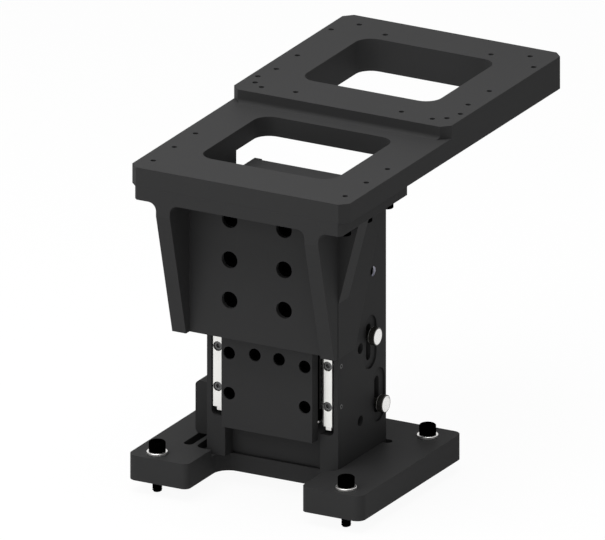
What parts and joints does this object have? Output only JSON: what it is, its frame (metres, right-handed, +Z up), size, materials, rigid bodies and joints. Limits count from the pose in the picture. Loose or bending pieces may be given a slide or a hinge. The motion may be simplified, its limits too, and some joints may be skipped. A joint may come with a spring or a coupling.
{
  "type": "microscope focusing mount",
  "caption": "Vertical focusing column on a notched base, with crossed roller rails, a ribbed bracket and a stepped stage plate with two square openings.",
  "frame": {"origin": "middle of the four base bolts, on the underside of the base plate", "axes": "+Z up along the focus travel, -Y to the user's side with the bracket, +Y along the stage plate to its raised end, +X to the side with the two stop knobs"},
  "size_m": [0.155, 0.268, 0.2139],
  "materials": {
    "black_anodised": "black anodised, fine satin",
    "black_screw": "black oxide",
    "ground_steel": "ground bright",
    "bright_steel": "turned bright",
    "spring_steel": "drawn wire",
    "nickel": "dull nickel plate",
    "brass": "machined",
    "cage_plastic": "moulded",
    "motor_case": "black lacquer, steel end caps",
    "circuit_board": "solder resist"
  },
  "bodies": {
    "column": {"back_cover": "black_anodised", "back_cover_screws": "black_screw", "base_bolts": "black_screw", "base_plate": "black_anodised", "base_washers": "bright_steel", "bearing_block": "black_anodised", "bearing_block_screws": "black_screw", "cable_housing": "black_anodised", "cable_housing_screws": "black_screw", "column_housing": "black_anodised", "column_screws": "black_screw", "drive_motor": "motor_case", "left_outer_rail": "ground_steel", "left_spring": "spring_steel", "motor_mount": "black_anodised", "motor_mount_screws": "black_screw", "motor_screws": "black_screw", "outer_rail_screws": "bright_steel", "pin_clips": "bright_steel", "preload_screws": "bright_steel", "rail_end_stops": "bright_steel", "right_outer_rail": "ground_steel", "right_spring": "spring_steel", "screw_bearing": "ground_steel", "spring_pin": "bright_steel", "terminal_board": "circuit_board"},
    "carriage": {"lead_nut": "brass", "lead_nut_screws": "black_screw", "nut_bracket": "black_anodised", "nut_bracket_screws": "black_screw", "hook_pin": "bright_steel", "carriage": "black_anodised", "left_inner_rail": "ground_steel", "right_inner_rail": "ground_steel", "inner_rail_screws": "black_screw", "inner_rail_end_screws": "bright_steel", "focus_bracket": "black_anodised", "bracket_screws": "black_screw", "stage_plate": "black_anodised", "stage_plate_screws": "black_screw"},
    "drive_screw": {"lead_screw": "bright_steel"},
    "left_cage": {"left_roller_cage": "cage_plastic", "left_rollers": "ground_steel"},
    "right_cage": {"right_roller_cage": "cage_plastic", "right_rollers": "ground_steel"},
    "upper_stop": {"upper_stop_block": "brass"},
    "upper_knob": {"upper_stop_knob": "nickel"},
    "lower_stop": {"lower_stop_block": "brass"},
    "lower_knob": {"lower_stop_knob": "nickel"}
  },
  "joints": [
    {"name": "focus_slide", "type": "slide", "parent": "column", "child": "carriage", "axis": [0, 0, 1], "range_m": [-0.0125, 0.0125], "deforming": ["left_spring", "right_spring"]},
    {"name": "left_cage_slide", "type": "slide", "parent": "column", "child": "left_cage", "axis": [0, 0, 1], "range_m": [-0.00625, 0.00625]},
    {"name": "right_cage_slide", "type": "slide", "parent": "column", "child": "right_cage", "axis": [0, 0, 1], "range_m": [-0.00625, 0.00625]},
    {"name": "lead_screw_turn", "type": "hinge", "parent": "column", "child": "drive_screw", "pos_m": [0, 0.008, 0.09], "axis": [0, 0, 1], "range_deg": [-2260, 2260]},
    {"name": "upper_stop_slide", "type": "slide", "parent": "column", "child": "upper_stop", "axis": [0, 0, 1], "range_m": [-0.0126, 0.0043]},
    {"name": "upper_knob_turn", "type": "hinge", "parent": "upper_stop", "child": "upper_knob", "pos_m": [0.0447, 0.0147, 0.0863], "axis": [1, 0, 0], "continuous": true},
    {"name": "lower_stop_slide", "type": "slide", "parent": "column", "child": "lower_stop", "axis": [0, 0, 1], "range_m": [-0.0034, 0.0126]},
    {"name": "lower_knob_turn", "type": "hinge", "parent": "lower_stop", "child": "lower_knob", "pos_m": [0.0447, 0.0248, 0.0413], "axis": [1, 0, 0], "continuous": true}
  ],
  "couplings": [
    {"joint": "left_cage_slide", "follows": "focus_slide", "ratio": 0.5},
    {"joint": "right_cage_slide", "follows": "focus_slide", "ratio": 0.5},
    {"joint": "lead_screw_turn", "follows": "focus_slide", "rad_per_m": -3141.6}
  ]
}
